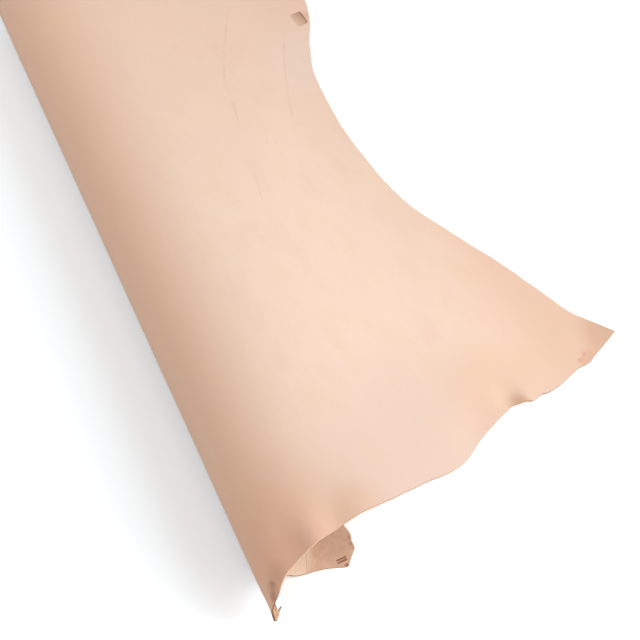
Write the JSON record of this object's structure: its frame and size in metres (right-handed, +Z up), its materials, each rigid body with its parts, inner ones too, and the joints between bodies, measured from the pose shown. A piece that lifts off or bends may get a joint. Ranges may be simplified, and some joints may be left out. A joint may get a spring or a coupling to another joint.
{
  "type": "leather shoulder",
  "caption": "Natural vegetable-tanned leather shoulder lying grain side up, its spine side turned under in one loose fold and its uneven flank resting flat.",
  "frame": {"origin": "middle of the bounding box, on the surface the hide lies on", "axes": "+Y along the fold from the neck end to the bend end, +X across the hide from the fold to the flank, +Z up out of the grain side"},
  "size_m": [0.5182, 0.9276, 0.1229],
  "materials": {
    "leather": "natural vegetable-tanned grain, unfinished and matte, with fibrous flesh side and raw cut edges"
  },
  "bodies": {
    "root": {"leather_shoulder": "leather"}
  },
  "joints": []
}
